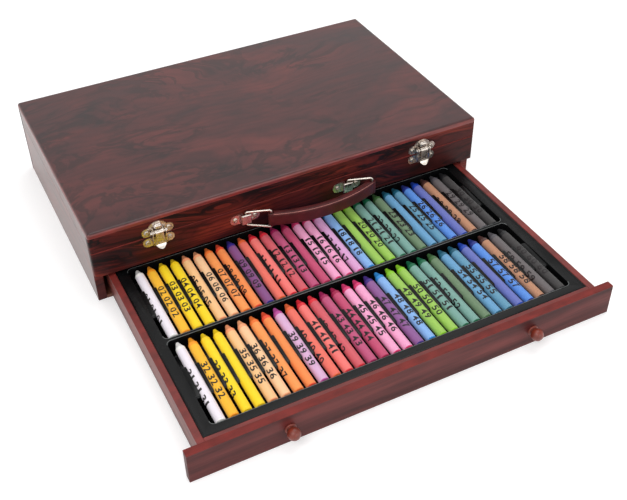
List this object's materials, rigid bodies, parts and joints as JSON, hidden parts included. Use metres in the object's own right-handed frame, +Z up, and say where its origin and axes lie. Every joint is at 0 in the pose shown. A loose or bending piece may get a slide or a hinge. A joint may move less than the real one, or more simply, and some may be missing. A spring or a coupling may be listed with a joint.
{
  "type": "wooden crayon case with drawer",
  "caption": "Wooden art case with a hinged, latched lid over a shallow compartment, a carry strap, and a pull-out drawer whose moulded tray holds two rows of wax crayons.",
  "frame": {"origin": "centre of the case's underside, on the plane that it rests on", "axes": "+X to the right, +Y to the back of the case, +Z up; the drawer pulls out along -Y"},
  "size_m": [0.385, 0.4676, 0.078],
  "materials": {
    "lid_burl": "satin",
    "case_burl": "satin",
    "drawer_wood": "satin",
    "panel_wood": "matte",
    "knob_wood": "satin",
    "nickel": "polished",
    "hinge_nickel": "polished",
    "strap_leatherette": "satin",
    "tray_plastic": "satin",
    "wax_white": "satin",
    "wax_yellow": "satin",
    "wax_peach": "satin",
    "wax_orange": "satin",
    "wax_red": "satin",
    "wax_magenta": "satin",
    "wax_pink": "satin",
    "wax_purple": "satin",
    "wax_blue": "satin",
    "wax_green": "satin",
    "wax_teal": "satin",
    "wax_brown": "satin",
    "wax_grey": "satin",
    "wax_black": "satin"
  },
  "bodies": {
    "case": {"base_back_panel": "case_burl", "base_bottom_panel": "panel_wood", "base_front_rail": "case_burl", "base_left_side": "case_burl", "base_right_side": "case_burl", "compartment_floor": "panel_wood", "handle_bracket_screws": "nickel", "handle_left_bracket": "nickel", "handle_right_bracket": "nickel", "hinge_base_screws": "hinge_nickel", "hinge_left_base_leaf": "hinge_nickel", "hinge_left_pin": "hinge_nickel", "hinge_right_base_leaf": "hinge_nickel", "hinge_right_pin": "hinge_nickel", "latch_catch_screws": "nickel", "latch_left_catch_plate": "nickel", "latch_right_catch_plate": "nickel"},
    "lid": {"hinge_left_lid_leaf": "hinge_nickel", "hinge_lid_screws": "hinge_nickel", "hinge_right_lid_leaf": "hinge_nickel", "latch_left_pin": "nickel", "latch_left_upper_plate": "nickel", "latch_right_pin": "nickel", "latch_right_upper_plate": "nickel", "latch_upper_screws": "nickel", "lid_back_rail": "case_burl", "lid_front_rail": "case_burl", "lid_left_rail": "case_burl", "lid_right_rail": "case_burl", "lid_top_panel": "lid_burl"},
    "latch_flap_left": {"latch_left_flap": "nickel"},
    "latch_flap_right": {"latch_right_flap": "nickel"},
    "drawer": {"crayon_tray": "tray_plastic", "crayons_black": "wax_black", "crayons_blue": "wax_blue", "crayons_brown": "wax_brown", "crayons_green": "wax_green", "crayons_grey": "wax_grey", "crayons_magenta": "wax_magenta", "crayons_orange": "wax_orange", "crayons_peach": "wax_peach", "crayons_pink": "wax_pink", "crayons_purple": "wax_purple", "crayons_red": "wax_red", "crayons_teal": "wax_teal", "crayons_white": "wax_white", "crayons_yellow": "wax_yellow", "drawer_back": "drawer_wood", "drawer_bottom": "panel_wood", "drawer_front": "drawer_wood", "drawer_inner_front": "drawer_wood", "drawer_knob_screws": "nickel", "drawer_left_knob": "knob_wood", "drawer_left_side": "drawer_wood", "drawer_right_knob": "knob_wood", "drawer_right_side": "drawer_wood"},
    "handle_ring_left": {"handle_left_ring": "nickel"},
    "handle_ring_right": {"handle_right_ring": "nickel"},
    "handle_strap": {"handle_strap": "strap_leatherette"}
  },
  "joints": [
    {"name": "lid_hinge", "type": "hinge", "parent": "case", "child": "lid", "pos_m": [0, 0.12165, 0.05715], "axis": [-1, 0, 0], "range_deg": [0, 105]},
    {"name": "latch_left_flap_hinge", "type": "hinge", "parent": "lid", "child": "latch_flap_left", "pos_m": [-0.1325, -0.1229, 0.0627], "axis": [-1, 0, 0], "range_deg": [0, 100]},
    {"name": "latch_right_flap_hinge", "type": "hinge", "parent": "lid", "child": "latch_flap_right", "pos_m": [0.1325, -0.1229, 0.0627], "axis": [-1, 0, 0], "range_deg": [0, 100]},
    {"name": "drawer_slide", "type": "slide", "parent": "case", "child": "drawer", "axis": [0, -1, 0], "range_m": [-0.2115, 0.003]},
    {"name": "handle_left_swing", "type": "hinge", "parent": "case", "child": "handle_ring_left", "pos_m": [-0.0516, -0.1214, 0.0461], "axis": [0, 0, -1], "range_deg": [-22, 148]},
    {"name": "handle_right_swing", "type": "hinge", "parent": "case", "child": "handle_ring_right", "pos_m": [0.0516, -0.1214, 0.0461], "axis": [0, 0, -1], "range_deg": [-22, 148]},
    {"name": "handle_strap_swivel", "type": "hinge", "parent": "handle_ring_left", "child": "handle_strap", "pos_m": [-0.03111, -0.13184, 0.0461], "axis": [0, 0, -1], "range_deg": [-148, 22]}
  ],
  "couplings": [
    {"joint": "handle_right_swing", "follows": "handle_left_swing", "ratio": 1},
    {"joint": "handle_strap_swivel", "follows": "handle_left_swing", "ratio": -1}
  ]
}
